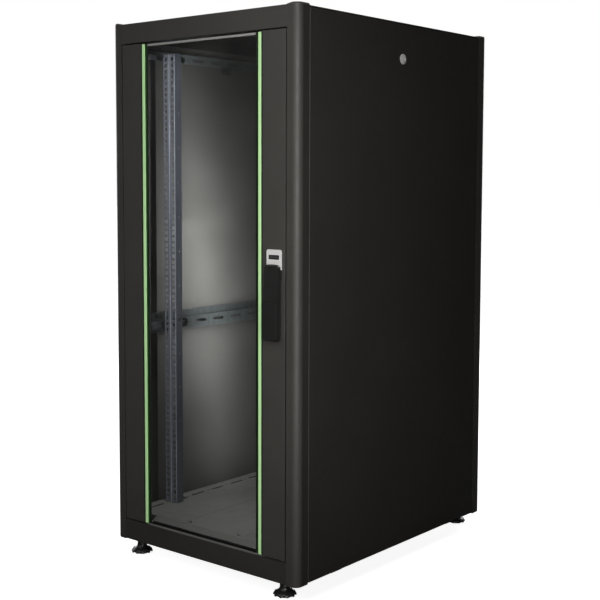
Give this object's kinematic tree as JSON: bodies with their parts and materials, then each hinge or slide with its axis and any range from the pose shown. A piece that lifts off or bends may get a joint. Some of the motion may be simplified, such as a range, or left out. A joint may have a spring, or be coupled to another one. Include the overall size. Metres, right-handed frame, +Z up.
{
  "type": "server rack cabinet",
  "caption": "Free-standing 19 inch network cabinet with a glass front door, swing handle, removable side panels, vented rear door, inner mounting rails and levelling feet.",
  "frame": {"origin": "middle of the overall box at floor level, under the feet", "axes": "+Z up; the glass door faces -Y; +X is to the right seen from the front, the side with the handle"},
  "size_m": [0.607, 0.824, 1.3382],
  "materials": {
    "frame_powder_coat": "fine textured matt black powder coat",
    "door_paint": "fine textured matt black powder coat",
    "panel_paint": "fine textured black powder coat with a soft sheen",
    "rail_steel": "semi-gloss dark grey coat over steel",
    "zinc_plate": "bright zinc plate",
    "bristle": "black nylon bristle",
    "black_plastic": "satin moulded black nylon",
    "seal_rubber": "matt black foam rubber",
    "foot_plastic": "satin moulded black nylon with a steel stem",
    "door_glass": "clear tempered safety glass, 5 mm",
    "green_trim": "pale green translucent strip with a soft gloss",
    "edge_profile": "satin clear-anodised aluminium",
    "handle_silver": "satin silver lacquer",
    "hub_metal": "satin black lacquer",
    "lock_chrome": "satin chrome plate"
  },
  "bodies": {
    "carcass": {"post_front_left": "frame_powder_coat", "post_front_right": "frame_powder_coat", "post_rear_left": "frame_powder_coat", "post_rear_right": "frame_powder_coat", "post_caps": "frame_powder_coat", "fascia_front_top": "frame_powder_coat", "fascia_front_base": "frame_powder_coat", "fascia_rear_top": "frame_powder_coat", "fascia_rear_base": "frame_powder_coat", "deck_left": "frame_powder_coat", "deck_right": "frame_powder_coat", "base_plate": "frame_powder_coat", "roof_panel": "frame_powder_coat", "roof_rails": "frame_powder_coat", "roof_brush_frame": "frame_powder_coat", "roof_bristles": "bristle", "crossmembers": "rail_steel", "upper_bars": "rail_steel", "frame_bolts": "zinc_plate", "foot_nuts": "zinc_plate", "strike_plates": "zinc_plate", "hinge_bearings": "black_plastic", "door_seals": "seal_rubber", "earth_stud": "zinc_plate"},
    "cable_cover": {"base_cover": "frame_powder_coat"},
    "front_rails": {"rail_front_left": "rail_steel", "rail_front_right": "rail_steel", "rail_brackets_front": "zinc_plate"},
    "rear_rails": {"rail_rear_left": "rail_steel", "rail_rear_right": "rail_steel", "rail_brackets_rear": "zinc_plate"},
    "front_door": {"stile_left": "door_paint", "stile_right": "door_paint", "stile_end_caps": "black_plastic", "door_glass": "door_glass", "trim_strips": "green_trim", "glass_edge_profiles": "edge_profile", "glass_gaskets": "seal_rubber", "front_hinge_pins": "zinc_plate", "handle_plate": "handle_silver", "handle_badge": "black_plastic"},
    "handle_spindle": {"handle_hub": "hub_metal", "latch_tongue": "zinc_plate"},
    "handle_lever": {"lever": "black_plastic", "lever_pin": "zinc_plate"},
    "handle_lock": {"lock_core": "lock_chrome"},
    "handle_lock_cover": {"lock_cover": "black_plastic"},
    "rear_door": {"rear_door_panel": "panel_paint", "rear_door_stiffeners": "panel_paint", "rear_hinge_pins": "zinc_plate", "rear_lock_body": "lock_chrome"},
    "rear_lock": {"rear_lock_core": "zinc_plate"},
    "left_panel": {"side_panel_left": "panel_paint"},
    "right_panel": {"side_panel_right": "panel_paint"},
    "left_panel_lock": {"side_lock_left": "lock_chrome"},
    "right_panel_lock": {"side_lock_right": "lock_chrome"},
    "front_left_foot": {"foot_front_left": "foot_plastic"},
    "front_right_foot": {"foot_front_right": "foot_plastic"},
    "rear_left_foot": {"foot_rear_left": "foot_plastic"},
    "rear_right_foot": {"foot_rear_right": "foot_plastic"}
  },
  "joints": [
    {"name": "front_door_hinge", "type": "hinge", "parent": "carcass", "child": "front_door", "pos_m": [-0.2595, -0.3895, 0.687], "axis": [0, 0, -1], "range_deg": [0, 110]},
    {"name": "handle_turn", "type": "hinge", "parent": "front_door", "child": "handle_spindle", "pos_m": [0.2335, -0.3955, 0.748], "axis": [0, 1, 0], "range_deg": [0, 90]},
    {"name": "lever_swing", "type": "hinge", "parent": "handle_spindle", "child": "handle_lever", "pos_m": [0.2335, -0.4015, 0.761], "axis": [-1, 0, 0], "range_deg": [0, 35]},
    {"name": "lock_core_turn", "type": "hinge", "parent": "handle_lever", "child": "handle_lock", "pos_m": [0.2335, -0.404, 0.64], "axis": [0, 1, 0], "range_deg": [0, 90]},
    {"name": "lock_cover_swivel", "type": "hinge", "parent": "handle_lever", "child": "handle_lock_cover", "pos_m": [0.2335, -0.406, 0.673], "axis": [0, 1, 0], "range_deg": [0, 100]},
    {"name": "rear_door_hinge", "type": "hinge", "parent": "carcass", "child": "rear_door", "pos_m": [0.2595, 0.4015, 0.687], "axis": [0, 0, -1], "range_deg": [0, 110]},
    {"name": "rear_lock_turn", "type": "hinge", "parent": "rear_door", "child": "rear_lock", "pos_m": [-0.2335, 0.396, 0.748], "axis": [0, -1, 0], "range_deg": [0, 90]},
    {"name": "left_panel_lift_off", "type": "slide", "parent": "carcass", "child": "left_panel", "axis": [-1, 0, 0], "range_m": [0, 0.1]},
    {"name": "right_panel_lift_off", "type": "slide", "parent": "carcass", "child": "right_panel", "axis": [1, 0, 0], "range_m": [0, 0.1]},
    {"name": "left_panel_lock_turn", "type": "hinge", "parent": "left_panel", "child": "left_panel_lock", "pos_m": [-0.295, 0.006, 1.2467], "axis": [-1, 0, 0], "range_deg": [0, 90]},
    {"name": "right_panel_lock_turn", "type": "hinge", "parent": "right_panel", "child": "right_panel_lock", "pos_m": [0.295, 0.006, 1.2467], "axis": [-1, 0, 0], "range_deg": [0, 90]},
    {"name": "front_rails_adjust", "type": "slide", "parent": "carcass", "child": "front_rails", "axis": [0, 1, 0], "range_m": [-0.017, 0.017]},
    {"name": "rear_rails_adjust", "type": "slide", "parent": "carcass", "child": "rear_rails", "axis": [0, 1, 0], "range_m": [-0.017, 0.017]},
    {"name": "cable_cover_slide", "type": "slide", "parent": "carcass", "child": "cable_cover", "axis": [0, 1, 0], "range_m": [0, 0.062]},
    {"name": "front_left_foot_level", "type": "slide", "parent": "carcass", "child": "front_left_foot", "axis": [0, 0, -1], "range_m": [0, 0.02]},
    {"name": "front_right_foot_level", "type": "slide", "parent": "carcass", "child": "front_right_foot", "axis": [0, 0, -1], "range_m": [0, 0.02]},
    {"name": "rear_left_foot_level", "type": "slide", "parent": "carcass", "child": "rear_left_foot", "axis": [0, 0, -1], "range_m": [0, 0.02]},
    {"name": "rear_right_foot_level", "type": "slide", "parent": "carcass", "child": "rear_right_foot", "axis": [0, 0, -1], "range_m": [0, 0.02]}
  ]
}
